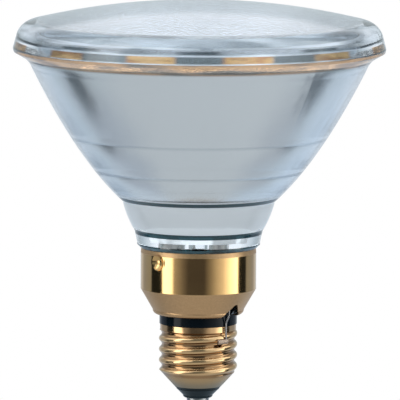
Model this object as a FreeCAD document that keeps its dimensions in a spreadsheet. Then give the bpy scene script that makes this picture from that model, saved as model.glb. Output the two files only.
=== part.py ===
import FreeCAD, Part
import math
import os

import Sketcher

# Reflector spot lamp with a skirted screw base, in millimetres.
# The lamp stands on its centre contact: the origin is the middle of that flat face and +Z runs up
# the axis to the lens. Angles are measured about +Z from +X, so the front of the lamp is at -90.

document = FreeCAD.newDocument("ReflectorLamp")
sheet = document.addObject("Spreadsheet::Sheet", "Sizes")
parts = []


# Sizes

class Size:
    """A value in millimetres or degrees together with the expression that keeps it live."""

    def __init__(self, value, text):
        self.value = float(value)
        self.text = text

    def __add__(self, other):
        other = as_size(other)
        return Size(self.value + other.value, f"({self.text} + {other.text})")

    def __sub__(self, other):
        other = as_size(other)
        return Size(self.value - other.value, f"({self.text} - {other.text})")

    def __mul__(self, other):
        other = as_size(other)
        return Size(self.value * other.value, f"({self.text} * {other.text})")

    def __truediv__(self, other):
        other = as_size(other)
        return Size(self.value / other.value, f"({self.text} / {other.text})")

    def __neg__(self):
        return Size(-self.value, f"(0 - {self.text})")


def as_size(number):
    """A Size from a Size or a plain number."""
    return number if isinstance(number, Size) else Size(number, repr(float(number)))


def root(size):
    """The square root of a Size."""
    return Size(math.sqrt(size.value), f"sqrt({size.text})")


def tangent(angle):
    """The tangent of a Size in degrees."""
    return Size(math.tan(math.radians(angle.value)), f"tan({angle.text} * 1 deg)")


def driving(numbers):
    """Write each number in the sheet under its own name, and return the Sizes by name."""
    sizes = {}
    for row, (name, value) in enumerate(numbers.items(), start=1):
        sheet.set(f"A{row}", name)
        sheet.set(f"B{row}", str(value))
        sheet.setAlias(f"B{row}", name)
        sizes[name] = Size(value, f"Sizes.{name}")
    return sizes


# Lens
rim_radius = 61.8
lens_height = 15.35
dome_radius = 240
lens_wall = 3.4
inner_corner = 2.0
shoulder_width = 6.2
shoulder_round = 6.2
wall_draft = 1.3
wall_top_drop = 4.0
seal_width = 6.4

# Reflector glass
bowl_rise = 3.65
bowl_focal = 13.74
mirror_rise = 3.1
focal_step = 1.14
mirror_top_drop = 1.9
seal_ledge = 0.6
flange_height = 6.756477
flange_width = 6.4
flange_reach = 3.9
flange_rise = 2.2
flange_lip = 1.0
flange_bevel = 0.2
flange_round = 8.0
heel_top_radius = 25.2
heel_foot_radius = 21.3
heel_foot_rise = 5.55
heel_round = 36
heel_step_width = 0.2
heel_step_drop = 1.05
neck_radius = 20.45
neck_round = 1.0
neck_land = 1.6
well_top_radius = 11.9
well_foot_radius = 10.7
floor_rise = 2.95
floor_wall = 3.2
collar_wall = 3.3
collar_clear = 5.25

# Skirt
skirt_radius = 19.2
skirt_straight = 13.6
skirt_wall = 0.4
hem_height = 1.5
hem_turn = 0.15
cone_angle = 30
lip_reach = 2.18741563
lip_rise = 1.55
lip_width = 0.7
notch_shift = 5.5
notch_width = 8.8
notch_height = 4.2
notch_round = 1.3
notch_crown = 0.65
notch_crown_half = 1.17
punch_angle = -134.7
punch_drop = 3.5
punch_width = 5.6
punch_depth = 1.4

# Insulating ring between skirt and screw shell
belt_radius = 12.9
belt_height = 3.3
ring_bore = 9.2
ring_flange = 2.0
ring_spigot = 4.0
slot_width = 5.8
slot_cut = 0.4

# Screw shell
thread_crest = 13.03
thread_valley = 12.1
thread_pitch = 3.629
thread_start = 8.43
thread_blend = 0.013
shell_top = 26.2
shell_collar = 12.65
collar_height = 1.9
shell_wall = 0.35
shell_cone_top = 9.8
shell_mouth = 7.1
shell_foot = 4.4

# Base insulator and centre contact
insulator_foot = 1.3
insulator_foot_radius = 5.0
insulator_round = 0.9
insulator_inner_height = 9.2
contact_radius = 3.7
contact_eye = 1.3
contact_round = 0.6
solder_recess = 0.15
solder_well = 0.3
solder_well_radius = 0.8

# Mount of the filament, leads and seals
lead_angle = -46.5
ferrule_offset = 7.6
ferrule_radius = 2.6
ferrule_wall = 0.4
ferrule_drop = 3.2
ferrule_base = 0.7
ferrule_rim = 0.8
post_radius = 0.75
post_foot = 0.9
post_above = 1.6
braze_radius = 1.7
braze_height = 0.6
braze_round = 1.14
coil_radius = 1.0
coil_length = 10.0
coil_turns = 8
filament_wire = 0.22
exhaust_radius = 3.2
exhaust_bore = 2.2
exhaust_drop = 9.6
exhaust_tip = 1.6
lead_wire_radius = 0.3
lead_bend = 2.0
lead_step = 1.5
lead_stand = 2.3
lead_drop = 6.0
sleeve_wall = 0.6
sleeve_length = 18.0
sleeve_drop = 14.2
wire_drop = 4.8
bead_radius = 0.9
bead_height = 1.0
bead_sweep = 17
bead_lead = 2.5

# Clearances, and how far a cut runs on past what it cuts
glass_gap = 0.25
seat_gap = 0.1
overrun = 1.0

# From here on each of these names stands for its cell in the sheet.
globals().update(driving({name: value for name, value in globals().items()
                          if isinstance(value, (int, float))}))
document.recompute()
ZERO = Size(0, "0")


# Sketches

def origin_plane(body, role):
    """One of the three planes that a body starts with."""
    return next(item for item in body.Origin.OriginFeatures if item.Role == role)


def add_sketch(body, name, role="XZ_Plane", lift=None, turn=None):
    """A sketch on an origin plane, moved along Z by lift and turned about Z by turn."""
    sketch = body.newObject("Sketcher::SketchObject", name)
    sketch.AttachmentSupport = [(origin_plane(body, role), "")]
    sketch.MapMode = "FlatFace"
    upright = role != "XY_Plane"
    up_axis = FreeCAD.Vector(0, 1, 0) if upright else FreeCAD.Vector(0, 0, 1)
    offset = FreeCAD.Placement()
    if lift is not None:
        offset.Base = up_axis * lift.value
    if turn is not None:
        offset.Rotation = FreeCAD.Rotation(up_axis, turn.value)
    sketch.AttachmentOffset = offset
    if lift is not None:
        sketch.setExpression("AttachmentOffset.Base." + ("y" if upright else "z"), lift.text)
    if turn is not None:
        sketch.setExpression("AttachmentOffset.Rotation.Angle", turn.text)
    return sketch


def bind(sketch, constraint, size):
    """Add a dimension to a sketch and tie it to its expression."""
    index = sketch.addConstraint(constraint)
    sketch.setExpression(f"Constraints[{index}]", size.text)


def pin_point(sketch, geometry, point, x, y):
    """Fix a point of a sketch at x and y."""
    x, y = as_size(x), as_size(y)
    if x.text == "0" or x.text == "0.0":
        sketch.addConstraint(Sketcher.Constraint("PointOnObject", geometry, point, -2))
    else:
        bind(sketch, Sketcher.Constraint("DistanceX", -1, 1, geometry, point, x.value), x)
    if y.text == "0" or y.text == "0.0":
        sketch.addConstraint(Sketcher.Constraint("PointOnObject", geometry, point, -1))
    else:
        bind(sketch, Sketcher.Constraint("DistanceY", -1, 1, geometry, point, y.value), y)


def flat(x, y):
    """A sketch point from two Sizes."""
    return FreeCAD.Vector(as_size(x).value, as_size(y).value, 0)


def round_stretch(centre, start, end, clockwise):
    """The arc about a centre from one point to another."""
    first, second = (end, start) if clockwise else (start, end)
    from_angle = math.atan2(first.y - centre.y, first.x - centre.x)
    to_angle = math.atan2(second.y - centre.y, second.x - centre.x)
    if to_angle <= from_angle:
        to_angle += 2 * math.pi
    circle = Part.Circle(centre, FreeCAD.Vector(0, 0, 1), (first - centre).Length)
    return Part.ArcOfCircle(circle, from_angle, to_angle)


class Outline:
    """A closed outline drawn corner by corner, with straight, round and parabolic stretches."""

    def __init__(self, sketch, x, y):
        self.sketch = sketch
        self.first = (as_size(x), as_size(y))
        self.last = self.first
        self.stretches = []

    def _join(self, geometry, start, end, x, y):
        if self.stretches:
            before, before_end = self.stretches[-1]
            self.sketch.addConstraint(
                Sketcher.Constraint("Coincident", before, before_end, geometry, start))
        else:
            self.first_point = (geometry, start)
            pin_point(self.sketch, geometry, start, *self.first)
        self.stretches.append((geometry, end))
        self.last = (as_size(x), as_size(y))

    def line(self, x, y):
        """A straight stretch to a corner."""
        geometry = self.sketch.addGeometry(Part.LineSegment(flat(*self.last), flat(x, y)), False)
        self._join(geometry, 1, 2, x, y)
        pin_point(self.sketch, geometry, 2, x, y)

    def arc(self, x, y, radius, clockwise=False):
        """A round stretch of a given radius to a corner, the shorter way."""
        start, end = flat(*self.last), flat(x, y)
        chord = end - start
        side = FreeCAD.Vector(-chord.y, chord.x, 0).normalize()
        reach = math.sqrt(max(radius.value ** 2 - (chord.Length / 2) ** 2, 0))
        centre = (start + end) * 0.5 + side * (-reach if clockwise else reach)
        geometry = self.sketch.addGeometry(round_stretch(centre, start, end, clockwise), False)
        tail, head = (2, 1) if clockwise else (1, 2)
        self._join(geometry, tail, head, x, y)
        pin_point(self.sketch, geometry, head, x, y)
        bind(self.sketch, Sketcher.Constraint("Radius", geometry, radius.value), radius)

    def parabola(self, radius, vertex, focal):
        """A stretch of the parabola about the Y axis, out or in to a radius, as one spline."""
        start = self.last[0]
        height = vertex + radius * radius / (focal * 4)
        middle = ((start + radius) / 2, vertex + start * radius / (focal * 4))
        curve = Part.BSplineCurve()
        poles = [flat(*self.last), flat(*middle), flat(radius, height)]
        curve.buildFromPolesMultsKnots(poles, [3, 3], [0, 1], False, 2)
        geometry = self.sketch.addGeometry(curve, False)
        self.sketch.exposeInternalGeometry(geometry)
        self._join(geometry, 1, 2, radius, height)
        pin_point(self.sketch, geometry + 2, 3, *middle)
        pin_point(self.sketch, geometry, 2, radius, height)

    def close(self):
        """A straight stretch back to the first corner."""
        geometry = self.sketch.addGeometry(
            Part.LineSegment(flat(*self.last), flat(*self.first)), False)
        before, before_end = self.stretches[-1]
        self.sketch.addConstraint(
            Sketcher.Constraint("Coincident", before, before_end, geometry, 1))
        self.sketch.addConstraint(
            Sketcher.Constraint("Coincident", geometry, 2, *self.first_point))
        return self.sketch


def add_circle(sketch, x, y, radius):
    """A circle in a sketch."""
    circle = Part.Circle(flat(x, y), FreeCAD.Vector(0, 0, 1), radius.value)
    geometry = sketch.addGeometry(circle, False)
    pin_point(sketch, geometry, 3, x, y)
    bind(sketch, Sketcher.Constraint("Radius", geometry, radius.value), radius)
    return sketch


def add_path(sketch, corners, bend):
    """An open path through corners, in straight runs joined by tangent arcs of one radius."""
    points = [flat(*corner) for corner in corners]
    starts, ends = [points[0]], []
    for before, corner, after in zip(points, points[1:], points[2:]):
        back, ahead = (before - corner).normalize(), (after - corner).normalize()
        reach = bend.value / math.tan(back.getAngle(ahead) / 2)
        ends.append(corner + back * reach)
        starts.append(corner + ahead * reach)
    ends.append(points[-1])
    lines = [sketch.addGeometry(Part.LineSegment(a, b), False) for a, b in zip(starts, ends)]
    pin_point(sketch, lines[0], 1, *corners[0])
    pin_point(sketch, lines[-1], 2, *corners[-1])
    for index, corner in enumerate(points[1:-1]):
        enter, leave = ends[index], starts[index + 1]
        towards_centre = ((enter + leave) * 0.5 - corner).normalize()
        centre = corner + towards_centre * math.hypot(bend.value, (enter - corner).Length)
        clockwise = (corner - enter).cross(leave - corner).z < 0
        arc = sketch.addGeometry(round_stretch(centre, enter, leave, clockwise), False)
        tail, head = (2, 1) if clockwise else (1, 2)
        sketch.addConstraint(Sketcher.Constraint("Tangent", lines[index], 2, arc, tail))
        sketch.addConstraint(Sketcher.Constraint("Tangent", arc, head, lines[index + 1], 1))
        bind(sketch, Sketcher.Constraint("Radius", arc, bend.value), bend)
        mark = sketch.addGeometry(Part.Point(corner), True)
        pin_point(sketch, mark, 1, *corners[index + 1])
        sketch.addConstraint(Sketcher.Constraint("PointOnObject", mark, 1, lines[index]))
        sketch.addConstraint(Sketcher.Constraint("PointOnObject", mark, 1, lines[index + 1]))
    return sketch


# Features

def new_body(name, turn=None):
    """A body for one piece of the lamp, turned about the axis where it needs to be."""
    body = document.addObject("PartDesign::Body", name)
    body.Label = name
    if turn is not None:
        body.Placement = FreeCAD.Placement(
            FreeCAD.Vector(0, 0, 0), FreeCAD.Rotation(FreeCAD.Vector(0, 0, 1), turn.value))
        body.setExpression("Placement.Rotation.Angle", turn.text)
    parts.append(body)
    return body


def add_feature(body, kind, name, sketch, **properties):
    """A feature on a sketch, with Sizes among its properties tied to their expressions."""
    feature = body.newObject("PartDesign::" + kind, name)
    feature.Profile = sketch
    for key, value in properties.items():
        if isinstance(value, Size):
            setattr(feature, key, value.value)
            feature.setExpression(key, value.text)
        else:
            setattr(feature, key, value)
    sketch.Visibility = False
    return feature


def revolve(body, name, sketch, cut=False, axis="V_Axis", sweep=360):
    """Turn a sketch round its own axis, once unless a sweep is given, to add or to cut."""
    kind = "Groove" if cut else "Revolution"
    return add_feature(body, kind, name, sketch, ReferenceAxis=(sketch, [axis]), Angle=sweep)


def repeat_round(body, name, features, count):
    """Repeat features evenly about the lamp's axis."""
    axis = next(item for item in body.Origin.OriginFeatures if item.Role == "Z_Axis")
    pattern = body.newObject("PartDesign::PolarPattern", name)
    pattern.Originals = features
    pattern.Axis = (axis, [""])
    pattern.Angle = 360
    pattern.Occurrences = count
    body.Tip = pattern
    return pattern


def add_wire(body, name, corners, radius, bend):
    """A round wire along a path in the XZ plane that starts upright."""
    path = add_path(add_sketch(body, name + "Path"), corners, bend)
    start = add_sketch(body, name + "End", "XY_Plane", lift=corners[0][1])
    add_circle(start, corners[0][0], ZERO, radius)
    document.recompute()
    pipe = body.newObject("PartDesign::AdditivePipe", name)
    pipe.Profile = start
    pipe.Spine = path
    path.Visibility = start.Visibility = False
    return pipe


# Heights and radii that several pieces share

lip_height = shell_top + belt_height
lip_radius = belt_radius + seat_gap
cone_foot = lip_height + lip_rise
cone_foot_radius = lip_radius + lip_reach
cone_top = cone_foot + (skirt_radius - cone_foot_radius) / tangent(cone_angle)
skirt_top = cone_top + skirt_straight
skirt_bore = skirt_radius - skirt_wall
collar_radius = skirt_bore - glass_gap
collar_bore = collar_radius - collar_wall
neck_foot = skirt_top + glass_gap
collar_foot = cone_top + collar_clear
floor_height = neck_foot + floor_rise
floor_underside = floor_height - floor_wall
bowl_vertex = neck_foot + bowl_rise
bowl_top_radius = rim_radius - flange_width
bowl_top = bowl_vertex + bowl_top_radius * bowl_top_radius / (bowl_focal * 4)
seal_height = bowl_top + flange_height
seal_inner_radius = rim_radius - seal_width
mirror_vertex = bowl_vertex + mirror_rise
mirror_focal = bowl_focal - focal_step
focus_height = mirror_vertex + mirror_focal
punch_round = (punch_width * punch_width / 4 + punch_depth * punch_depth) / (punch_depth * 2)
punch_centre = skirt_radius - punch_depth + punch_round
punch_height = skirt_top - punch_drop
dome_top = seal_height + lens_height
dome_edge = rim_radius - shoulder_width
dome_centre = dome_top - dome_radius
dome_edge_height = dome_centre + root(dome_radius * dome_radius - dome_edge * dome_edge)
inner_dome_radius = dome_radius - lens_wall
inner_dome_edge = seal_inner_radius - inner_corner
inner_dome_edge_height = dome_centre + root(
    inner_dome_radius * inner_dome_radius - inner_dome_edge * inner_dome_edge)
shell_bore = thread_valley - shell_wall
shell_neck = shell_collar - shell_wall
shell_flare = shell_collar - thread_valley
shell_collar_foot = shell_top - collar_height
shell_rate = (thread_valley - shell_mouth) / (shell_cone_top - shell_foot)
shell_slant = root(shell_rate * shell_rate + 1)
shell_inner_mouth = shell_mouth - shell_wall * shell_slant
shell_inner_cone_top = shell_cone_top + shell_wall * (shell_slant - 1) / shell_rate
ring_flange_foot = lip_height + skirt_wall + seat_gap
ring_flange_radius = cone_foot_radius - skirt_wall - glass_gap
ring_flange_seat = ring_flange_foot + lip_rise
ring_top = ring_flange_seat + ring_flange
side_lead_radius = thread_crest + seat_gap + lead_wire_radius
lead_rest = shell_top + lead_step
wire_end = shell_top - wire_drop
ferrule_foot = floor_underside - ferrule_drop
post_end = ferrule_foot - post_foot


# Lens

def make_lens():
    """Domed pressed glass cover with a drafted rim, open below where it is sealed on."""
    body = new_body("lens")
    sketch = add_sketch(body, "LensSection")
    outline = Outline(sketch, ZERO, dome_top)
    outline.arc(dome_edge, dome_edge_height, dome_radius, clockwise=True)
    wall_top_radius = rim_radius - wall_draft
    outline.arc(wall_top_radius, dome_edge_height - wall_top_drop, shoulder_round, clockwise=True)
    outline.line(rim_radius, seal_height)
    outline.line(seal_inner_radius, seal_height)
    outline.line(seal_inner_radius, inner_dome_edge_height - lens_wall)
    outline.line(inner_dome_edge, inner_dome_edge_height)
    outline.arc(ZERO, dome_top - lens_wall, inner_dome_radius)
    outline.close()
    revolve(body, "LensForm", sketch)


# Reflector

def make_reflector():
    """Pressed glass bowl: flange, paraboloid, heel, and a collar that stands in the skirt."""
    body = new_body("reflector", turn=lead_angle)
    sketch = add_sketch(body, "BowlSection")
    heel_top = bowl_vertex + heel_top_radius * heel_top_radius / (bowl_focal * 4)
    mirror_top = seal_height - mirror_top_drop
    mirror_top_radius = root((mirror_top - mirror_vertex) * mirror_focal * 4)
    well_top = mirror_vertex + well_top_radius * well_top_radius / (mirror_focal * 4)
    flange_edge = rim_radius - flange_reach
    outline = Outline(sketch, rim_radius, seal_height)
    outline.line(rim_radius - flange_bevel, seal_height - flange_lip)
    outline.line(flange_edge, seal_height - flange_lip - flange_rise)
    outline.arc(bowl_top_radius, bowl_top, flange_round)
    outline.parabola(heel_top_radius, bowl_vertex, bowl_focal)
    outline.line(heel_top_radius - heel_step_width, heel_top - heel_step_drop)
    outline.arc(heel_foot_radius, neck_foot + heel_foot_rise, heel_round, clockwise=True)
    outline.line(neck_radius, neck_foot + neck_land)
    outline.line(neck_radius, neck_foot + neck_round)
    outline.line(neck_radius - neck_round, neck_foot)
    outline.line(collar_radius, neck_foot)
    outline.line(collar_radius, collar_foot)
    outline.line(collar_bore, collar_foot)
    outline.line(collar_bore, floor_underside)
    outline.line(ZERO, floor_underside)
    outline.line(ZERO, floor_height)
    outline.line(well_foot_radius, floor_height)
    outline.line(well_top_radius, well_top)
    outline.parabola(mirror_top_radius, mirror_vertex, mirror_focal)
    outline.line(seal_inner_radius, mirror_top + seal_ledge)
    outline.line(seal_inner_radius, seal_height)
    outline.close()
    revolve(body, "BowlForm", sketch)

    holes = add_sketch(body, "SealHoles", "XY_Plane", lift=floor_underside - overrun)
    add_circle(holes, ferrule_offset, ZERO, ferrule_radius)
    add_circle(holes, -ferrule_offset, ZERO, ferrule_radius)
    add_circle(holes, ZERO, ZERO, exhaust_bore)
    document.recompute()
    add_feature(body, "Pocket", "SealBores", holes, Length=floor_wall + overrun * 2, Reversed=True)

    recess = add_punch(body, "PunchRecess", lead_angle, punch_round + skirt_wall + glass_gap,
                       collar_radius + overrun, cut=True)
    repeat_round(body, "PunchRecesses", [recess], 2)


def add_punch(body, name, frame_angle, radius, face, cut):
    """A ball-shaped dent about a radial axis, from its lowest point out to a flat face."""
    sketch = add_sketch(body, name + "Section", lift=punch_height, turn=punch_angle - frame_angle)
    reach = face - punch_centre
    outline = Outline(sketch, punch_centre - radius, ZERO)
    outline.arc(face, root(radius * radius - reach * reach), radius, clockwise=True)
    outline.line(face, ZERO)
    outline.close()
    return revolve(body, name, sketch, cut=cut, axis="H_Axis")


# Base skirt

def make_skirt():
    """Drawn brass skirt: cylinder, cone and rolled lip, punched into the glass collar."""
    body = new_body("base_skirt")
    inner_slope_shift = skirt_wall * tangent(cone_angle / 2)
    lip_run = cone_foot_radius - lip_radius - lip_width
    lip_round = (lip_run * lip_run + lip_rise * lip_rise) / (lip_rise * 2)
    inner_run = lip_run - skirt_wall
    inner_rise = lip_rise + inner_slope_shift - skirt_wall
    inner_round = (inner_run * inner_run + inner_rise * inner_rise) / (inner_rise * 2)
    sketch = add_sketch(body, "SkirtSection")
    outline = Outline(sketch, skirt_radius - hem_turn, skirt_top)
    outline.line(skirt_radius, skirt_top - hem_height)
    outline.line(skirt_radius, cone_top)
    outline.line(cone_foot_radius, cone_foot)
    outline.arc(lip_radius + lip_width, lip_height, lip_round, clockwise=True)
    outline.line(lip_radius, lip_height)
    outline.line(lip_radius, lip_height + skirt_wall)
    outline.line(lip_radius + lip_width, lip_height + skirt_wall)
    outline.arc(cone_foot_radius - skirt_wall, cone_foot + inner_slope_shift, inner_round)
    outline.line(skirt_bore, cone_top + inner_slope_shift)
    outline.line(skirt_bore, skirt_top - hem_height)
    outline.line(skirt_bore - hem_turn, skirt_top)
    outline.close()
    revolve(body, "SkirtForm", sketch)

    dent = add_punch(body, "PunchDent", ZERO, punch_round + skirt_wall,
                     skirt_radius - skirt_wall / 2, cut=False)
    hollow = add_punch(body, "PunchHollow", ZERO, punch_round, skirt_radius + skirt_wall, cut=True)
    repeat_round(body, "Punches", [dent, hollow], 2)

    notch = add_sketch(body, "NotchOutline", turn=lead_angle + notch_shift + 90)
    half = notch_width / 2
    peak = lip_height + notch_height
    outline = Outline(notch, half, lip_height - overrun)
    outline.line(half, lip_height)
    outline.line(notch_crown_half, peak - notch_crown)
    outline.arc(-notch_crown_half, peak - notch_crown, notch_round)
    outline.line(-half, lip_height)
    outline.line(-half, lip_height - overrun)
    outline.close()
    document.recompute()
    add_feature(body, "Pocket", "Notch", notch, Length=skirt_radius + overrun, Reversed=True)


# Insulating ring

def make_insulator_ring():
    """Black ring that parts skirt and shell, with a spigot below and a flange in the cone."""
    body = new_body("insulator_ring", turn=lead_angle)
    sketch = add_sketch(body, "RingSection")
    spigot_radius = shell_neck - seat_gap
    lower_spigot = shell_bore - seat_gap
    outline = Outline(sketch, belt_radius, shell_top + seat_gap)
    outline.line(belt_radius, ring_flange_foot)
    outline.line(ring_flange_radius, ring_flange_seat)
    outline.line(ring_flange_radius, ring_top)
    outline.line(ring_bore, ring_top)
    outline.line(ring_bore, shell_top - ring_spigot)
    outline.line(lower_spigot, shell_top - ring_spigot)
    outline.line(lower_spigot, shell_collar_foot - shell_flare)
    outline.line(spigot_radius, shell_collar_foot)
    outline.line(spigot_radius, shell_top + seat_gap)
    outline.close()
    revolve(body, "RingForm", sketch)

    slot = add_sketch(body, "LeadSlot", "XY_Plane", lift=ring_flange_foot - seat_gap)
    half = slot_width / 2
    outer = ring_flange_radius + overrun
    slot_floor = belt_radius - slot_cut
    outline = Outline(slot, slot_floor, half)
    outline.line(outer, half)
    outline.line(outer, -half)
    outline.line(slot_floor, -half)
    outline.close()
    document.recompute()
    add_feature(body, "Pocket", "SlotCut", slot, Length=lip_rise + ring_flange + overrun,
                Reversed=True)


# Screw shell

def make_screw_shell():
    """Rolled brass shell: cone, rounded right-hand screw thread, and a plain collar on top."""
    body = new_body("screw_shell")
    sketch = add_sketch(body, "ShellSection")
    flare_foot = shell_collar_foot - shell_flare
    outline = Outline(sketch, shell_mouth, shell_foot)
    outline.line(thread_valley, shell_cone_top)
    outline.line(thread_valley, flare_foot)
    outline.line(shell_collar, shell_collar_foot)
    outline.line(shell_collar, shell_top)
    outline.line(shell_neck, shell_top)
    outline.line(shell_neck, shell_collar_foot)
    outline.line(shell_bore, flare_foot)
    outline.line(shell_bore, shell_inner_cone_top)
    outline.line(shell_inner_mouth, shell_foot)
    outline.close()
    revolve(body, "ShellForm", sketch)

    # One ridge from valley to valley: a crest arc between two hollow flanks of the same radius.
    ridge = add_sketch(body, "RidgeSection", lift=thread_start)
    quarter = thread_pitch / 4
    rise = (thread_crest - thread_valley) / 2
    knuckle = (rise * rise + quarter * quarter) / (rise * 2)
    middle = thread_valley + rise
    valley_reach = quarter * 2 - root(knuckle * thread_blend * 2)
    foot = thread_valley - shell_wall / 2
    outline = Outline(ridge, foot, -valley_reach)
    outline.line(thread_valley + thread_blend, -valley_reach)
    outline.arc(middle, -quarter, knuckle, clockwise=True)
    outline.arc(middle, quarter, knuckle)
    outline.arc(thread_valley + thread_blend, valley_reach, knuckle, clockwise=True)
    outline.line(foot, valley_reach)
    outline.close()
    document.recompute()
    add_feature(body, "AdditiveHelix", "Thread", ridge, ReferenceAxis=(ridge, ["V_Axis"]), Mode=0,
                Pitch=thread_pitch, Height=shell_collar_foot - thread_start + quarter)

    # The ridge runs out into the cone below and into the collar above.
    run_out = add_sketch(body, "RunOutLimit")
    outer = thread_crest + overrun
    below = thread_start - thread_pitch
    outline = Outline(run_out, shell_mouth - (shell_foot - below) * shell_rate, below)
    outline.line(outer, shell_cone_top + (outer - thread_valley) / shell_rate)
    outline.line(outer, below)
    outline.close()
    document.recompute()
    revolve(body, "LowerRunOut", run_out, cut=True)
    upper = add_sketch(body, "UpperLimit")
    above = shell_top + thread_pitch
    outline = Outline(upper, shell_bore - overrun, above)
    outline.line(shell_bore - overrun, flare_foot)
    outline.line(shell_bore, flare_foot)
    outline.line(shell_neck, shell_collar_foot)
    outline.line(shell_neck, shell_top)
    outline.line(shell_collar, shell_top)
    outline.line(shell_collar, shell_collar_foot - seat_gap)
    outline.line(outer, shell_collar_foot - outer + shell_collar - seat_gap)
    outline.line(outer, above)
    outline.close()
    document.recompute()
    revolve(body, "UpperRunOut", upper, cut=True)


# Base insulator, contact and solder

def make_base_insulator():
    """Black glass cone that closes the shell and carries the centre contact."""
    body = new_body("base_insulator")
    sketch = add_sketch(body, "InsulatorSection")
    inner_mouth = shell_inner_mouth - seat_gap
    inner_top = inner_mouth + (insulator_inner_height - shell_foot) * shell_rate
    outline = Outline(sketch, lead_wire_radius + seat_gap, insulator_foot)
    outline.line(insulator_foot_radius - insulator_round, insulator_foot)
    outline.arc(insulator_foot_radius, insulator_foot + insulator_round, insulator_round)
    outline.line(shell_mouth, shell_foot - seat_gap)
    outline.line(inner_mouth, shell_foot - seat_gap)
    outline.line(inner_mouth, shell_foot)
    outline.line(inner_top, insulator_inner_height)
    outline.line(lead_wire_radius + seat_gap, insulator_inner_height)
    outline.close()
    revolve(body, "InsulatorForm", sketch)


def make_centre_contact():
    """Brass contact disc with an eye for the lead."""
    body = new_body("centre_contact")
    sketch = add_sketch(body, "ContactSection")
    outline = Outline(sketch, contact_eye, ZERO)
    outline.line(contact_radius - contact_round, ZERO)
    outline.arc(contact_radius, contact_round, contact_round)
    outline.line(contact_radius, insulator_foot)
    outline.line(contact_eye, insulator_foot)
    outline.close()
    revolve(body, "ContactForm", sketch)


def make_centre_solder():
    """Solder that fills the eye of the contact round the end of the lead."""
    body = new_body("centre_solder")
    sketch = add_sketch(body, "SolderSection")
    outline = Outline(sketch, ZERO, solder_recess)
    outline.line(solder_well_radius, solder_recess)
    outline.line(contact_eye, solder_recess + solder_well)
    outline.line(contact_eye, insulator_foot)
    outline.line(lead_wire_radius, insulator_foot)
    outline.line(lead_wire_radius, insulator_foot / 2)
    outline.line(ZERO, insulator_foot / 2)
    outline.close()
    revolve(body, "SolderForm", sketch)


# Seals, mount and leads. Each is drawn in the plane of the two leads, which lead_angle turns.

def make_ferrule(name, side):
    """Metal cup sealed in the glass floor, with a hole for the post."""
    body = new_body(name, turn=lead_angle)
    sketch = add_sketch(body, "FerruleSection")
    foot = ferrule_foot
    top = floor_height + ferrule_rim
    bore = ferrule_radius - ferrule_wall
    outline = Outline(sketch, post_radius, foot)
    outline.line(ferrule_radius, foot)
    outline.line(ferrule_radius, top)
    outline.line(bore, top)
    outline.line(bore, foot + ferrule_base)
    outline.line(post_radius, foot + ferrule_base)
    outline.close()
    revolve(body, "FerruleForm", sketch)
    place_at_lead(body, side)


def place_at_lead(body, side):
    """Move a piece that is drawn on the lamp's axis out to the centre of its ferrule."""
    cosine, sine = f"cos({lead_angle.text} * 1 deg)", f"sin({lead_angle.text} * 1 deg)"
    reach = f"{side} * {ferrule_offset.text}"
    body.setExpression("Placement.Base.x", f"{reach} * {cosine}")
    body.setExpression("Placement.Base.y", f"{reach} * {sine}")


def make_post(name, side):
    """Stiff upright wire from under its ferrule to the end of the filament."""
    body = new_body(name, turn=lead_angle)
    sketch = add_sketch(body, "PostEnd", "XY_Plane", lift=post_end)
    add_circle(sketch, ZERO, ZERO, post_radius)
    document.recompute()
    top = focus_height + coil_radius + post_above
    add_feature(body, "Pad", "PostForm", sketch, Length=top - post_end)
    place_at_lead(body, side)


def make_braze(name, side):
    """Fillet of braze that fixes a post in its ferrule."""
    body = new_body(name, turn=lead_angle)
    sketch = add_sketch(body, "BrazeSection")
    seat = ferrule_foot + ferrule_base
    outline = Outline(sketch, post_radius, seat)
    outline.line(braze_radius, seat)
    outline.arc(post_radius, seat + braze_height, braze_round, clockwise=True)
    outline.close()
    revolve(body, "BrazeForm", sketch)
    place_at_lead(body, side)


def make_filament():
    """Coiled filament lying across the focus, with a straight leg out to each post."""
    body = new_body("filament", turn=lead_angle)
    coil = add_sketch(body, "CoilWire", lift=focus_height)
    add_circle(coil, -(coil_length / 2), coil_radius, filament_wire)
    document.recompute()
    add_feature(body, "AdditiveHelix", "Coil", coil, ReferenceAxis=(coil, ["H_Axis"]), Mode=0,
                Pitch=coil_length / coil_turns, Height=coil_length)
    leg_length = ferrule_offset - post_radius - coil_length / 2
    for name, side in (("NearLeg", 1), ("FarLeg", -1)):
        leg = add_sketch(body, name + "End", "YZ_Plane", lift=focus_height)
        add_circle(leg, ZERO, coil_radius, filament_wire)
        leg.setExpression("AttachmentOffset.Base.z", (coil_length * (side / 2)).text)
        document.recompute()
        add_feature(body, "Pad", name, leg, Length=leg_length, Reversed=side < 0)


def make_exhaust_tube():
    """Stub of the glass exhaust tube, drawn to a round tip below the floor."""
    body = new_body("exhaust_tube")
    sketch = add_sketch(body, "TubeSection")
    tip = floor_underside - exhaust_drop
    outline = Outline(sketch, exhaust_bore, floor_underside)
    outline.line(exhaust_radius, floor_underside)
    outline.line(exhaust_radius, tip + exhaust_radius)
    outline.arc(ZERO, tip, exhaust_radius, clockwise=True)
    outline.line(ZERO, tip + exhaust_tip)
    outline.arc(exhaust_bore, tip + exhaust_tip + exhaust_bore, exhaust_bore)
    outline.close()
    revolve(body, "TubeForm", sketch)


def make_side_lead():
    """Lead from its ferrule down the cone, out round the ring at the notch, and on to the thread."""
    body = new_body("side_lead_wire", turn=lead_angle)
    outer = ring_flange_radius + lead_wire_radius
    corners = [
        (side_lead_radius, wire_end),
        (side_lead_radius, lead_rest),
        (outer, lead_rest + lead_stand),
        (outer, ring_top + lead_bend),
        (ferrule_offset, post_end - lead_drop),
        (ferrule_offset, post_end),
    ]
    add_wire(body, "SideLead", corners, lead_wire_radius, lead_bend)


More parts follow.
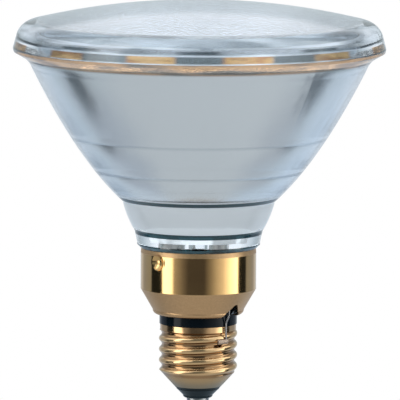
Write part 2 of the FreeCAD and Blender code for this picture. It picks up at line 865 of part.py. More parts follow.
def make_centre_lead():
    """Lead from its ferrule to the eye of the centre contact."""
    body = new_body("centre_lead_wire", turn=lead_angle)
    corners = [
        (ZERO, insulator_foot / 2),
        (ZERO, post_end - lead_drop * 2),
        (-ferrule_offset, post_end - lead_drop / 2),
        (-ferrule_offset, post_end),
    ]
    add_wire(body, "CentreLead", corners, lead_wire_radius, lead_bend / 2)


def make_sleeve():
    """Woven insulating sleeve round the centre lead where it passes the shell."""
    body = new_body("lead_sleeve")
    sketch = add_sketch(body, "SleeveEnd", "XY_Plane", lift=shell_top - sleeve_drop)
    add_circle(sketch, ZERO, ZERO, lead_wire_radius + seat_gap)
    add_circle(sketch, ZERO, ZERO, lead_wire_radius + seat_gap + sleeve_wall)
    document.recompute()
    add_feature(body, "Pad", "SleeveForm", sketch, Length=sleeve_length)


def make_side_solder():
    """Bead of solder, drawn out along the thread, that holds the side lead on its first turn."""
    body = new_body("side_solder", turn=lead_angle)
    sketch = add_sketch(body, "BeadSection", turn=bead_lead - bead_sweep)
    seat = thread_crest + seat_gap / 2
    dome = (bead_radius * bead_radius + bead_height * bead_height) / (bead_height * 2)
    outline = Outline(sketch, seat, wire_end - bead_radius)
    outline.arc(seat + bead_height, wire_end, dome)
    outline.arc(seat, wire_end + bead_radius, dome)
    outline.close()
    revolve(body, "BeadForm", sketch, sweep=bead_sweep)
    wire = add_sketch(body, "WireSeat", "XY_Plane", lift=wire_end)
    add_circle(wire, side_lead_radius, ZERO, lead_wire_radius)
    document.recompute()
    add_feature(body, "Pocket", "WireBore", wire, Length=bead_radius * 2, Reversed=True)


make_lens()
make_reflector()
make_exhaust_tube()
for label, direction in (("side_ferrule", 1), ("centre_ferrule", -1)):
    make_ferrule(label, direction)
for label, direction in (("side_post", 1), ("centre_post", -1)):
    make_post(label, direction)
for label, direction in (("side_braze", 1), ("centre_braze", -1)):
    make_braze(label, direction)
make_filament()
make_skirt()
make_insulator_ring()
make_screw_shell()
make_base_insulator()
make_centre_contact()
make_centre_solder()
make_side_lead()
make_side_solder()
make_centre_lead()
make_sleeve()

document.recompute()


# Check and write

faults = [item.Name for item in document.Objects
          if "Invalid" in item.State or "Error" in item.State]
for piece in parts:
    if piece.Shape.isNull() or not piece.Shape.isValid() or not piece.Shape.Solids:
        faults.append(piece.Label)
if faults:
    raise RuntimeError("These did not build: " + ", ".join(faults))

os.makedirs("parts", exist_ok=True)
for piece in parts:
    piece.Shape.exportStep(f"parts/{piece.Label}.step")
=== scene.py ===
import bpy
import math
from mathutils import Matrix, Vector


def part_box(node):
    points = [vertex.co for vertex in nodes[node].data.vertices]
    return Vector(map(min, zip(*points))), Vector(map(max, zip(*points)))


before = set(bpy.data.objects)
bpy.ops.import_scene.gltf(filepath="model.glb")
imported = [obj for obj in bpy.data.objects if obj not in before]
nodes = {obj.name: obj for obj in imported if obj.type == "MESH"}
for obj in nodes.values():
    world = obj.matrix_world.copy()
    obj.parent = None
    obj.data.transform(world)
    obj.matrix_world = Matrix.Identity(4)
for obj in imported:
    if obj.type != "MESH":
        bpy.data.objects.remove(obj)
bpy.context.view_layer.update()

MM = 0.001

# Sizes of the lamp that the finishes follow, in metres. Heights are above the lamp's foot, and a
# reach is a distance from its axis.
SEAL_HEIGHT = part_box("reflector")[1].z
DOME_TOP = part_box("lens")[1].z
DOME_RADIUS = 240 * MM
LENS_WALL = 3.4 * MM
RIM_REACH = 60.0 * MM              # beyond it lies only the outer wall of the rim
SHOULDER_REACH = 55.0 * MM
FLANGE_REACH = 56.0 * MM
MIRROR_VERTEX = 58.6 * MM
MIRROR_FOCAL = 12.6 * MM
MIRROR_TOP = SEAL_HEIGHT - 1.9 * MM
COAT_DEPTH = 0.35 * MM             # how far from the parabola a face still counts as the mirror
WELL_FOOT = 54.8 * MM
WELL_FOOT_RADIUS = 10.7 * MM
WELL_FLARE = 1.2 / 6.6             # growth of the well's radius for each unit of height
WELL_TOP = 61.4 * MM
SLACK = 0.1 * MM                   # how far a finish reaches past the edge of its face
BULGES = ((70.3 * MM, 78.2 * MM), (78.2 * MM, 89.3 * MM), (89.3 * MM, 112.0 * MM))
# Heights of the dark rings that are painted into the bowl's glass as shade.
PAINTED_SHADE_RINGS = ((67.8 * MM, 69.0 * MM), (56.5 * MM, 58.0 * MM), (51.8 * MM, 53.2 * MM))
RING_BLUR = 0.2 * MM

# Fades: a finish is absent at the first of two lengths, and full at the second.
STIPPLE_FADE = (53.0 * MM, 51.5 * MM)
FLANGE_FADE = (113.6 * MM, 114.6 * MM)
# The painted shade along the bowl's creases fades with distance from each crease's foot.
CREASE_FADE = (0.9 * MM, 0.1 * MM)
# Below this fade the back of the coat is matt and glows with painted light.
PAINTED_FADE = (70.8 * MM, 69.6 * MM)
# Below this fade the painted glow of the coat's back is brighter in patches.
GLOW_PATCH_FADE = (58.0 * MM, 57.0 * MM)
SKIRT_CONE_FADE = (38.3 * MM, 37.7 * MM)
HEM_FADE = (50.0 * MM, 50.2 * MM)
# From the thread's valleys to its crests, painted shade turns to painted light.
CREST_LIGHT_FADE = (12.2 * MM, 13.0 * MM)
SHELL_CONE_FADE = (9.6 * MM, 8.6 * MM)
# Down the shell's cone, painted shade turns the brass darker and greyer.
CONE_SHADE_FADE = (8.8 * MM, 5.4 * MM)
GLAZE_FADE = (5.35 * MM, 5.2 * MM)

# Bands of painted reflection on the lens: each has a fade for its lower edge and one for its upper
# edge.
AMBER_REFLECTION_BAND = ((118.2 * MM, 118.6 * MM), (120.9 * MM, 120.5 * MM))
DARK_LINE_REFLECTION_BAND = ((121.2 * MM, 121.6 * MM), (122.6 * MM, 122.2 * MM))
SHOULDER_REFLECTION_BAND = ((120.9 * MM, 121.3 * MM), (127.6 * MM, 126.6 * MM))

GLASS_IOR = 1.48
POLISHED = 0.02                    # roughness of pressed or drawn glass
LENS_CLEAR = (0.94, 0.96, 0.985)
BOWL_CLEAR = (0.94, 0.97, 0.98)
WHITE = (1.0, 1.0, 1.0)


# Node graphs

class Graph:
    """A material's or world's node tree, with short names for the nodes that the finishes use."""

    def __init__(self, owner):
        owner.use_nodes = True
        self.tree = owner.node_tree
        self.tree.nodes.clear()

    def add(self, kind, inputs=(), **settings):
        node = self.tree.nodes.new(kind)
        for key, value in settings.items():
            setattr(node, key, value)
        for key, value in dict(inputs).items():
            self.feed(node.inputs[key], value)
        return node

    def feed(self, socket, value):
        """Link a socket or set its value. A colour comes without its alpha."""
        if isinstance(value, bpy.types.NodeSocket):
            self.tree.links.new(value, socket)
        elif socket.type == "RGBA":
            socket.default_value = (*value, 1.0)
        else:
            socket.default_value = value

    def math(self, operation, first, second=0.0, third=0.0):
        node = self.add("ShaderNodeMath", operation=operation)
        for index, value in enumerate((first, second, third)):
            self.feed(node.inputs[index], value)
        return node.outputs[0]

    def product(self, first, *others):
        for other in others:
            first = self.math("MULTIPLY", first, other)
        return first

    def opposite(self, value):
        """What the value lacks to 1."""
        return self.math("SUBTRACT", 1.0, value)

    def apart(self, first, second):
        """How far apart two numbers are."""
        return self.math("ABSOLUTE", self.math("SUBTRACT", first, second))

    def vector(self, operation, first, second=(0.0, 0.0, 0.0)):
        node = self.add("ShaderNodeVectorMath", operation=operation)
        self.feed(node.inputs[0], first)
        self.feed(node.inputs[1], second)
        return node.outputs["Value" if operation == "LENGTH" else "Vector"]

    def place(self):
        """The position in the lamp's own frame."""
        return self.add("ShaderNodeTexCoord").outputs["Object"]

    def axes(self, place):
        split = self.add("ShaderNodeSeparateXYZ", {"Vector": place})
        return split.outputs["X"], split.outputs["Y"], split.outputs["Z"]

    def height(self, place):
        return self.axes(place)[2]

    def from_axis(self, place):
        """The distance from the lamp's axis."""
        flat = self.vector("MULTIPLY", place, (1.0, 1.0, 0.0))
        return self.vector("LENGTH", flat)

    def bearing(self, x, y):
        """The angle round the lamp in radians, 0 at its front and positive to the right."""
        return self.math("ARCTAN2", x, self.math("MULTIPLY", y, -1.0))

    def lobes(self, bearing, count):
        """A wave from -1 to 1 that crests count times round the lamp, once at its front."""
        return self.math("COSINE", self.math("MULTIPLY", bearing, count))

    def noise(self, place, scale, detail=2.0, roughness=0.5, flatness=1.0):
        """Clouds, about scale of them to a metre. Flatness is their width over their height."""
        if flatness != 1.0:
            place = self.vector("MULTIPLY", place, (1.0, 1.0, flatness))
        node = self.add("ShaderNodeTexNoise", {"Vector": place, "Scale": scale, "Detail": detail,
                                              "Roughness": roughness})
        return node.outputs["Fac"]

    def dots(self, place, scale):
        """Round dots, about scale of them to a metre: 0 at their middles."""
        node = self.add("ShaderNodeTexVoronoi", {"Vector": place, "Scale": scale},
                        feature="SMOOTH_F1")
        return self.step(node.outputs["Distance"], 0.0, 0.7)

    def step(self, value, start, end):
        """0 at the start, 1 at the end, and smooth between them. The end may be the lower one."""
        node = self.add("ShaderNodeMapRange", {"Value": value, "From Min": start, "From Max": end},
                        interpolation_type="SMOOTHSTEP")
        return node.outputs["Result"]

    def band(self, value, lower, upper):
        """1 between two edges, each of which is a fade."""
        return self.product(self.step(value, *upper), self.step(value, *lower))

    def spread(self, value, low, high):
        """A value from 0 to 1 spread over low to high."""
        node = self.add("ShaderNodeMapRange", {"Value": value, "To Min": low, "To Max": high})
        return node.outputs["Result"]

    def mix(self, factor, first, second, blend="MIX"):
        """A colour between two colours."""
        node = self.add("ShaderNodeMix", {0: factor, 6: first, 7: second},
                        data_type="RGBA", blend_type=blend)
        return node.outputs[2]

    def between(self, factor, first, second):
        """A number between two numbers."""
        node = self.add("ShaderNodeMix", {0: factor, 2: first, 3: second}, data_type="FLOAT")
        return node.outputs[0]

    def round_ramp(self, degrees, stops):
        """Colours set by bearing, from -180 to 180 degrees."""
        around = self.math("MULTIPLY_ADD", degrees, 1.0 / 360.0, 0.5)
        node = self.add("ShaderNodeValToRGB", {"Fac": around})
        marks = node.color_ramp.elements
        while len(marks) < len(stops):
            marks.new(1.0)
        for mark, (bearing, colour) in zip(marks, stops):
            mark.position = 0.5 + bearing / 360.0
            mark.color = (*colour, 1.0)
        return node.outputs["Color"]

    def bump(self, height, distance, strength=1.0, normal=None):
        node = self.add("ShaderNodeBump", {"Height": height, "Distance": distance,
                                          "Strength": strength})
        if normal is not None:
            self.feed(node.inputs["Normal"], normal)
        return node.outputs["Normal"]

    def outside(self):
        """1 where a surface is met from outside its solid, and 0 from inside."""
        return self.opposite(self.add("ShaderNodeNewGeometry").outputs["Backfacing"])

    def fused(self, z):
        """0 on the two faces that are melted together at the seal, and 1 elsewhere."""
        return self.math("GREATER_THAN", self.apart(z, SEAL_HEIGHT), 0.01 * MM)

    def finish(self, **inputs):
        """A Principled surface from inputs that are named as on the node, with _ for a space."""
        named = {key.replace("_", " "): value for key, value in inputs.items()}
        shader = self.add("ShaderNodeBsdfPrincipled", named)
        self.add("ShaderNodeOutputMaterial", {"Surface": shader.outputs["BSDF"]})


def material(name):
    """A new material and its graph."""
    made = bpy.data.materials.new(name)
    return made, Graph(made)


def dress(made, *names):
    """Give CAD nodes a material."""
    for name in names:
        mesh = nodes[name].data
        mesh.materials.clear()
        mesh.materials.append(made)


# Finishes

def lens_glass():
    """Clear pressed glass, stippled inside its dome, with reflections painted round its rim and
    shoulder.
    """
    made, graph = material("lens_glass")
    place = graph.place()
    x, y, z = graph.axes(place)
    reach = graph.from_axis(place)
    bearing = graph.bearing(x, y)
    outside = graph.outside()
    ripple = graph.noise(place, 45.0)

    from_centre = graph.vector("LENGTH", graph.vector(
        "SUBTRACT", place, (0.0, 0.0, DOME_TOP - DOME_RADIUS)))
    inner = graph.product(
        graph.step(from_centre, DOME_RADIUS - LENS_WALL * 0.4, DOME_RADIUS - LENS_WALL * 0.6),
        graph.step(reach, *STIPPLE_FADE))
    stipple = graph.bump(graph.product(graph.dots(place, 1300.0), inner), -0.24 * MM)

    # Painted reflections: the foot has amber fields with grey gaps, which are darkest at the front
    # and the back.
    fields = graph.step(
        graph.math("MULTIPLY_ADD", ripple, 0.8, graph.lobes(bearing, 12)), 0.6, 0.1)
    facing = graph.step(graph.lobes(bearing, 2), -0.6, 0.2)
    grey_gap_reflection = graph.mix(facing, (0.70, 0.76, 0.78), (0.08, 0.10, 0.10))
    fleck = graph.step(graph.noise(place, 90.0, flatness=5.0), 0.36, 0.62)
    amber_reflection = graph.mix(fleck, (0.32, 0.09, 0.02), (0.88, 0.36, 0.08))
    rim = graph.product(graph.math("GREATER_THAN", reach, RIM_REACH), outside)
    foot = graph.product(graph.band(z, *AMBER_REFLECTION_BAND), rim)
    colour = graph.mix(foot, LENS_CLEAR, graph.mix(fields, grey_gap_reflection, amber_reflection))

    # A dark line, a painted reflection that is stronger in nine places, runs above the foot.
    places = graph.step(
        graph.math("MULTIPLY_ADD", ripple, 0.8, graph.lobes(bearing, 9)), 0.5, 1.1)
    dark_line_reflection = graph.product(graph.band(z, *DARK_LINE_REFLECTION_BAND), rim, graph.spread(places, 0.25, 1.0))
    colour = graph.mix(dark_line_reflection, colour, (0.05, 0.07, 0.08))

    # Painted reflections: dark and light streaks are multiplied into the colour of the shoulder.
    shoulder = graph.product(graph.band(z, *SHOULDER_REFLECTION_BAND),
                             graph.math("GREATER_THAN", reach, SHOULDER_REACH), outside)
    sweep = graph.step(graph.noise(place, 38.0, flatness=7.0), 0.30, 0.68)
    streak_reflection = graph.mix(sweep, (0.13, 0.16, 0.17), (0.66, 0.72, 0.74))
    colour = graph.mix(shoulder, colour, graph.mix(1.0, colour, streak_reflection, "MULTIPLY"))

    graph.finish(Base_Color=colour, Roughness=graph.between(inner, POLISHED, 0.06), IOR=GLASS_IOR,
                 Transmission_Weight=1.0, Alpha=graph.fused(z),
                 Normal=graph.bump(ripple, 0.12 * MM, 1.0, stipple))
    return made


def mirror_coat(graph, z, reach):
    """1 on the faces that are aluminised: the paraboloid, the well and the floor."""
    parabola = graph.math("MULTIPLY_ADD", graph.product(reach, reach), 0.25 / MIRROR_FOCAL,
                          MIRROR_VERTEX)
    mirror = graph.math("LESS_THAN", graph.apart(z, parabola), COAT_DEPTH)
    well_wall = graph.math("MULTIPLY_ADD", graph.math("SUBTRACT", z, WELL_FOOT), WELL_FLARE,
                           WELL_FOOT_RADIUS + SLACK)
    well = graph.product(graph.math("LESS_THAN", reach, well_wall),
                         graph.math("GREATER_THAN", z, WELL_FOOT - SLACK),
                         graph.math("LESS_THAN", z, WELL_TOP + 3 * SLACK))
    return graph.product(graph.math("MAXIMUM", mirror, well),
                         graph.math("LESS_THAN", z, MIRROR_TOP + SLACK))


def reflector_glass():
    """Pressed glass, clear outside, with a satin aluminium coat where it faces the filament."""
    made, graph = material("reflector_glass")
    place = graph.place()
    z = graph.height(place)
    reach = graph.from_axis(place)
    outside = graph.outside()
    coat = mirror_coat(graph, z, reach)
    wave = graph.noise(place, 60.0, flatness=0.25)

    # The mould leaves three shallow bulges, one above the other, each with a crease at its foot.
    swell = 0.0
    crease_shade = 0.0
    for foot, top in BULGES:
        middle, half = (foot + top) / 2, (top - foot) / 2
        share = graph.math("DIVIDE", graph.math("SUBTRACT", z, middle), half)
        swell = graph.math("MAXIMUM", graph.opposite(graph.product(share, share)), swell)
        one_crease_shade = graph.step(graph.apart(z, foot), *CREASE_FADE)
        crease_shade = graph.math("MAXIMUM", one_crease_shade, crease_shade)
    # The silver is painted darker along each crease, as shade.
    silver = graph.mix(graph.product(crease_shade, 0.22), (0.80, 0.83, 0.86), (0.30, 0.36, 0.42))

    # Where the outer wall turns, dark rings are painted into the glass as shade, and its flange has
    # painted warm streaks that stand for reflections.
    shade_rings = 0.0
    for foot, top in PAINTED_SHADE_RINGS:
        middle, half = (foot + top) / 2, (top - foot) / 2
        shade_ring = graph.step(graph.apart(z, middle), half + RING_BLUR, half)
        shade_rings = graph.math("MAXIMUM", shade_ring, shade_rings)
    glass = graph.mix(graph.product(shade_rings, outside), BOWL_CLEAR, (0.0004, 0.004, 0.006))
    # Painted reflection: dark brown and orange streaks on the flange.
    flange = graph.product(graph.step(z, *FLANGE_FADE),
                           graph.math("GREATER_THAN", reach, FLANGE_REACH), outside)
    warm_streak_reflection = graph.step(graph.noise(place, 55.0, 1.0, flatness=8.0), 0.35, 0.62)
    glass = graph.mix(flange, glass, graph.mix(warm_streak_reflection, (0.07, 0.055, 0.04), (0.44, 0.18, 0.06)))

    # In and round the well, the back of the coat, seen through the glass, is pale and matt, and
    # glows with painted light, brightest in patches at the floor.
    painted = graph.product(coat, graph.step(z, *PAINTED_FADE), graph.opposite(outside))
    glow_patches = graph.step(graph.noise(place, 150.0, 1.0, flatness=0.2), 0.40, 0.56)
    painted_glow = graph.spread(graph.product(graph.step(z, *GLOW_PATCH_FADE), glow_patches), 0.26, 0.8)

    colour = graph.mix(painted, graph.mix(coat, glass, silver), (0.93, 0.95, 0.97))
    rough = graph.between(coat, POLISHED, graph.spread(wave, 0.13, 0.20))
    grain = graph.noise(place, 1400.0)
    relief = graph.math("MULTIPLY_ADD", grain, 0.12, graph.product(wave, 0.8))
    graph.finish(Base_Color=colour, Metallic=graph.math("MULTIPLY_ADD", painted, -0.9, coat),
                 Roughness=graph.math("MULTIPLY_ADD", painted, 0.4, rough), IOR=GLASS_IOR,
                 Transmission_Weight=graph.opposite(coat), Alpha=graph.fused(z),
                 Emission_Color=(0.80, 0.88, 0.95), Emission_Strength=graph.product(painted, painted_glow),
                 Normal=graph.bump(relief, 0.1 * MM, 0.6, graph.bump(swell, 0.22 * MM)))
    return made


def tube_glass():
    """Clear drawn glass."""
    made, graph = material("tube_glass")
    ripple = graph.noise(graph.place(), 300.0)
    graph.finish(Base_Color=(0.95, 0.98, 0.98), Roughness=POLISHED, IOR=GLASS_IOR,
                 Transmission_Weight=1.0, Normal=graph.bump(ripple, 0.05 * MM))
    return made


def skirt_brass():
    """Drawn brass: bright with faint draw lines, grainy and duller on the cone and the hem."""
    made, graph = material("skirt_brass")
    place = graph.place()
    z = graph.height(place)
    matt = graph.math("MAXIMUM", graph.step(z, *SKIRT_CONE_FADE), graph.step(z, *HEM_FADE))
    grain = graph.noise(place, 1500.0, 3.0, 0.65)
    cloud = graph.noise(place, 110.0, 4.0, 0.6)
    lines = graph.noise(place, 60.0, flatness=40.0)
    bright = graph.mix(cloud, (0.53, 0.33, 0.14), (0.69, 0.46, 0.20))
    dull = graph.mix(grain, (0.46, 0.28, 0.14), (0.70, 0.46, 0.25))
    rough = graph.between(matt, graph.spread(cloud, 0.08, 0.16), graph.spread(grain, 0.32, 0.5))
    relief = graph.between(matt, graph.product(lines, 0.15), grain)
    graph.finish(Base_Color=graph.mix(matt, bright, dull), Metallic=1.0, Roughness=rough,
                 Normal=graph.bump(relief, 0.05 * MM, 0.5))
    return made


def shell_brass():
    """Rolled brass thread with painted shade in its valleys and painted light on its crests, a cone
    painted darker towards its foot as shade, and a black glazed foot.
    """
    made, graph = material("shell_brass")
    place = graph.place()
    z = graph.height(place)
    crest_light = graph.step(graph.from_axis(place), *CREST_LIGHT_FADE)
    grain = graph.noise(place, 900.0, 3.0, 0.6)
    cloud = graph.noise(place, 160.0, 3.0, 0.6)
    # Painted shade darkens the valleys of the thread, and painted light brightens its crests.
    thread = graph.mix(crest_light, (0.30, 0.175, 0.08), (0.80, 0.54, 0.28))
    thread = graph.mix(graph.product(cloud, 0.5), thread, (0.46, 0.28, 0.15))
    cone = graph.step(z, *SHELL_CONE_FADE)
    # Painted shade: the cone turns darker and greyer towards its foot.
    cone_shade = graph.mix(graph.step(z, *CONE_SHADE_FADE), (0.50, 0.34, 0.18), (0.30, 0.25, 0.18))
    glaze = graph.step(z, *GLAZE_FADE)
    colour = graph.mix(glaze, graph.mix(cone, thread, cone_shade), (0.004, 0.009, 0.012))
    rough = graph.between(cone, graph.spread(cloud, 0.12, 0.22), graph.spread(grain, 0.32, 0.45))
    dents = graph.bump(graph.noise(place, 260.0, 1.0), 0.35 * MM, 0.5)
    graph.finish(Base_Color=colour, Metallic=graph.opposite(glaze), Roughness=rough,
                 Specular_IOR_Level=0.12, Normal=graph.bump(grain, 0.015 * MM, 0.4, dents))
    return made


def plain_metal(name, light, dark, rough, scale):
    """A metal whose colour and gloss vary a little, with about scale grains to a metre."""
    made, graph = material(name)
    grain = graph.noise(graph.place(), scale, 3.0, 0.6)
    graph.finish(Base_Color=graph.mix(grain, dark, light), Metallic=1.0,
                 Roughness=graph.spread(grain, *rough), Normal=graph.bump(grain, 0.03 * MM, 0.4))
    return made


def black_gloss(name, tint, rough):
    """Black glossy insulator with a faint ripple."""
    made, graph = material(name)
    place = graph.place()
    ripple = graph.noise(place, 220.0, 3.0)
    speck = graph.noise(place, 1800.0)
    lighter = tuple(channel * 1.8 for channel in tint)
    graph.finish(Base_Color=graph.mix(speck, tint, lighter), Roughness=graph.spread(ripple, *rough),
                 IOR=1.52, Specular_IOR_Level=0.10, Normal=graph.bump(ripple, 0.06 * MM, 0.5))
    return made


def sleeve_fabric():
    """Woven glass fibre sleeve: two sets of threads that cross as they wind upward."""
    made, graph = material("sleeve_fabric")
    x, y, z = graph.axes(graph.place())
    turn = graph.math("MULTIPLY", graph.math("ARCTAN2", y, x), 8.0)
    climb = graph.math("MULTIPLY", z, 9000.0)
    one, two = (graph.math("SINE", graph.math(way, turn, climb)) for way in ("ADD", "SUBTRACT"))
    weave = graph.math("MULTIPLY_ADD", graph.math("MAXIMUM", one, two), 0.5, 0.5)
    graph.finish(Base_Color=graph.mix(weave, (0.45, 0.42, 0.35), (0.85, 0.82, 0.72)),
                 Roughness=0.8, Normal=graph.bump(weave, 0.1 * MM))
    return made


# Name, light and dark colour, least and most roughness, grains to a metre, and the pieces
METALS = (
    ("contact_tin", (0.42, 0.43, 0.44), (0.26, 0.27, 0.28), (0.3, 0.45), 600.0,
     ("centre_contact",)),
    ("ferrule_metal", (0.62, 0.60, 0.58), (0.45, 0.43, 0.41), (0.25, 0.4), 600.0,
     ("side_ferrule", "centre_ferrule")),
    ("post_metal", (0.50, 0.49, 0.48), (0.34, 0.33, 0.33), (0.25, 0.45), 600.0,
     ("side_post", "centre_post")),
    ("braze", (0.72, 0.55, 0.32), (0.50, 0.36, 0.20), (0.25, 0.4), 600.0,
     ("side_braze", "centre_braze")),
    ("filament_tungsten", (0.24, 0.24, 0.25), (0.12, 0.12, 0.13), (0.3, 0.45), 2500.0,
     ("filament",)),
    ("lead_wire", (0.40, 0.39, 0.38), (0.22, 0.21, 0.20), (0.2, 0.35), 1500.0,
     ("side_lead_wire", "centre_lead_wire")),
    ("solder", (0.52, 0.42, 0.33), (0.34, 0.25, 0.19), (0.35, 0.6), 1200.0,
     ("side_solder", "centre_solder")),
)

dress(lens_glass(), "lens")
dress(reflector_glass(), "reflector")
dress(tube_glass(), "exhaust_tube")
dress(skirt_brass(), "base_skirt")
dress(shell_brass(), "screw_shell")
dress(black_gloss("insulator_black", (0.002, 0.004, 0.006), (0.06, 0.14)), "insulator_ring")
dress(black_gloss("base_glass_black", (0.006, 0.012, 0.016), (0.05, 0.12)), "base_insulator")
dress(sleeve_fabric(), "lead_sleeve")
for name, light, dark, rough, scale, pieces in METALS:
    dress(plain_metal(name, light, dark, rough, scale), *pieces)


# Studio

# Colours of the surround by bearing in degrees: 0 is on the camera's side, and 90 on the right.
# LEVEL is the ring at the lamp's own height, and LEVEL_THROUGH takes its place for light that
# comes through glass. UNDER and DEEP lie below it, and UPPER above.
BACK = (0.40, 0.46, 0.56)
FAR = (0.68, 0.74, 0.80)
FLAG = (0.02, 0.025, 0.03)
LEVEL = (
    (-180, FAR), (-152, FAR), (-138, BACK), (-110, BACK), (-107, FLAG), (-78, FLAG),
    (-75, (3.9, 3.9, 3.8)), (-56, (3.5, 3.5, 3.4)), (-50, (0.6, 0.6, 0.6)),
    (-30, (0.22, 0.22, 0.24)), (-20, (0.09, 0.09, 0.1)), (12, (0.09, 0.09, 0.1)),
    (26, (0.40, 0.40, 0.40)), (50, (1.2, 1.2, 1.2)), (84, (3.9, 3.9, 3.8)), (88, FLAG),
    (109, FLAG), (112, BACK), (138, BACK), (152, FAR), (180, FAR))
THROUGH_FAR = (0.92, 0.98, 1.06)
THROUGH_BACK = (0.48, 0.56, 0.62)
THROUGH_FLAG = (0.26, 0.32, 0.34)
LEVEL_THROUGH = (
    (-180, THROUGH_FAR), (-150, THROUGH_FAR), (-130, THROUGH_BACK), (-108, THROUGH_FLAG),
    (-80, THROUGH_FLAG), (-62, (0.82, 0.86, 0.88)), (-30, (0.50, 0.53, 0.56)),
    (0, (0.30, 0.33, 0.37)), (30, (0.50, 0.53, 0.56)), (62, (0.82, 0.86, 0.88)),
    (88, THROUGH_FLAG), (110, THROUGH_FLAG), (130, THROUGH_BACK), (150, THROUGH_FAR),
    (180, THROUGH_FAR))
UNDER = (
    (-180, (0.34, 0.42, 0.53)), (-158, (0.46, 0.55, 0.66)), (-136, (0.62, 0.71, 0.80)),
    (-124, (0.50, 0.55, 0.60)), (-117, (0.03, 0.04, 0.05)), (-108, (0.03, 0.04, 0.05)),
    (-101, (0.52, 0.57, 0.60)), (-60, (0.58, 0.62, 0.64)), (60, (0.58, 0.62, 0.64)),
    (96, (0.58, 0.62, 0.65)), (102, (0.08, 0.10, 0.12)), (110, (0.08, 0.10, 0.12)),
    (122, (0.62, 0.70, 0.78)), (150, (0.68, 0.80, 0.94)), (180, (0.34, 0.42, 0.53)))
DEEP = (
    (-180, (0.42, 0.50, 0.59)), (-140, (0.66, 0.73, 0.80)), (-122, (0.44, 0.48, 0.54)),
    (-100, (0.46, 0.50, 0.55)), (-75, (0.57, 0.60, 0.62)), (75, (0.60, 0.63, 0.65)),
    (100, (0.48, 0.51, 0.55)), (122, (0.50, 0.55, 0.60)), (140, (0.64, 0.74, 0.84)),
    (180, (0.42, 0.50, 0.59)))
UPPER_FLAG = (0.46, 0.45, 0.44)
UPPER = (
    (-180, (1.1, 1.15, 1.2)), (-152, (1.1, 1.15, 1.2)), (-148, UPPER_FLAG), (-122, UPPER_FLAG),
    (-116, (1.15, 1.2, 1.22)), (-79, (1.1, 1.15, 1.18)), (-75, (3.2, 3.2, 3.2)),
    (-54, (3.2, 3.2, 3.2)), (-50, (1.14, 1.20, 1.27)), (-26, (1.06, 1.12, 1.18)),
    (-20, (0.12, 0.14, 0.15)), (18, (0.12, 0.14, 0.15)), (24, (1.06, 1.12, 1.18)),
    (60, (1.14, 1.20, 1.27)), (80, (1.1, 1.14, 1.16)), (84, (2.2, 2.28, 2.3)),
    (108, (2.2, 2.28, 2.3)), (114, UPPER_FLAG), (146, UPPER_FLAG), (150, (1.1, 1.15, 1.2)),
    (180, (1.1, 1.15, 1.2)))


def make_world():
    """Soft studio surround: bright panels and dark flags round the lamp, pale above, grey below.

    The camera itself sees plain white, and light that comes through glass meets softer flags.
    """
    world = bpy.data.worlds.new("Studio")
    bpy.context.scene.world = world
    graph = Graph(world)
    x, y, z = graph.axes(graph.add("ShaderNodeTexCoord").outputs["Generated"])
    degrees = graph.math("MULTIPLY", graph.bearing(x, y), 180.0 / math.pi)
    rays = graph.add("ShaderNodeLightPath")
    through = rays.outputs["Is Transmission Ray"]

    fade = graph.product(graph.step(z, -0.08, 0.0), 0.6)
    colour = graph.mix(fade, graph.round_ramp(degrees, LEVEL), (0.46, 0.54, 0.55))
    colour = graph.mix(through, colour, graph.round_ramp(degrees, LEVEL_THROUGH))
    upper = graph.mix(graph.product(through, 0.7), graph.round_ramp(degrees, UPPER),
                      (0.85, 0.92, 0.98))
    # Each zone takes over as the direction's upward part goes from the first number to the second.
    zones = ((-0.26, -0.40, graph.round_ramp(degrees, UNDER)),
             (-0.61, -0.66, graph.round_ramp(degrees, DEEP)),
             (-0.86, -0.95, (0.58, 0.61, 0.63)),
             (0.25, 0.35, upper),
             (0.76, 0.90, (1.32, 1.41, 1.47)))
    for start, end, zone in zones:
        colour = graph.mix(graph.step(z, start, end), colour, zone)
    lit = graph.add("ShaderNodeBackground", {"Color": colour})
    seen = graph.add("ShaderNodeBackground", {"Color": WHITE})
    both = graph.add("ShaderNodeMixShader", {0: rays.outputs["Is Camera Ray"], 1: lit.outputs[0],
                                             2: seen.outputs[0]})
    graph.add("ShaderNodeOutputWorld", {"Surface": both.outputs[0]})


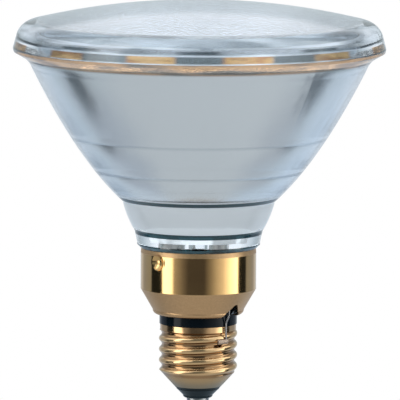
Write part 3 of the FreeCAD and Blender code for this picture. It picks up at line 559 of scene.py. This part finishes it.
def make_floor():
    """Plain white floor that shines softly, so that no lamp of the studio shows on it."""
    size = 12.0
    mesh = bpy.data.meshes.new("floor")
    corners = [(-size, -size, 0), (size, -size, 0), (size, size, 0), (-size, size, 0)]
    mesh.from_pydata(corners, [], [(0, 1, 2, 3)])
    floor = bpy.data.objects.new("floor", mesh)
    bpy.context.scene.collection.objects.link(floor)
    made, graph = material("floor_paint")
    graph.finish(Base_Color=(0.0, 0.0, 0.0), Roughness=1.0, Specular_IOR_Level=0.0,
                 Emission_Color=WHITE, Emission_Strength=1.0)
    mesh.materials.append(made)
    floor.visible_glossy = False
    floor.visible_transmission = False


def make_top_light():
    """A soft square light high above and behind, which points at the middle of the lamp."""
    light = bpy.data.lights.new("top_light", "AREA")
    light.size = 2.5
    light.energy = 45.0
    holder = bpy.data.objects.new("top_light", light)
    bpy.context.scene.collection.objects.link(holder)
    holder.location = (0.0, 0.6, 2.5)
    aim = Vector((0.0, 0.0, DOME_TOP / 2)) - holder.location
    holder.rotation_euler = aim.to_track_quat("-Z", "Y").to_euler()
    holder.visible_glossy = False


def make_camera():
    """Long lens from the front, a little above the lamp, which leans slightly in the picture."""
    image_width = 400
    sensor = 36.0
    scale = 3.012                     # pixels for each millimetre of the lamp
    place = Vector((0.0, -2.0, 0.3035))
    target = Vector((0.0004, 0.0, 0.0674))
    lean = math.radians(-0.3)
    camera = bpy.data.cameras.new("camera")
    camera.sensor_width = sensor
    distance = (target - place).length / MM
    camera.lens = scale * distance * sensor / image_width
    camera.clip_start = 0.1
    camera.clip_end = 100.0
    holder = bpy.data.objects.new("camera", camera)
    bpy.context.scene.collection.objects.link(holder)
    look = (target - place).to_track_quat("-Z", "Y").to_matrix().to_4x4()
    holder.matrix_world = Matrix.Translation(place) @ look @ Matrix.Rotation(-lean, 4, "Z")
    bpy.context.scene.camera = holder


make_world()
make_floor()
make_top_light()
make_camera()

scene = bpy.context.scene
scene.view_settings.view_transform = "Standard"
scene.view_settings.look = "None"
# The rim is thick glass, in which light turns many times before it leaves.
scene.cycles.max_bounces = 20
scene.cycles.glossy_bounces = 12
scene.cycles.transmission_bounces = 20
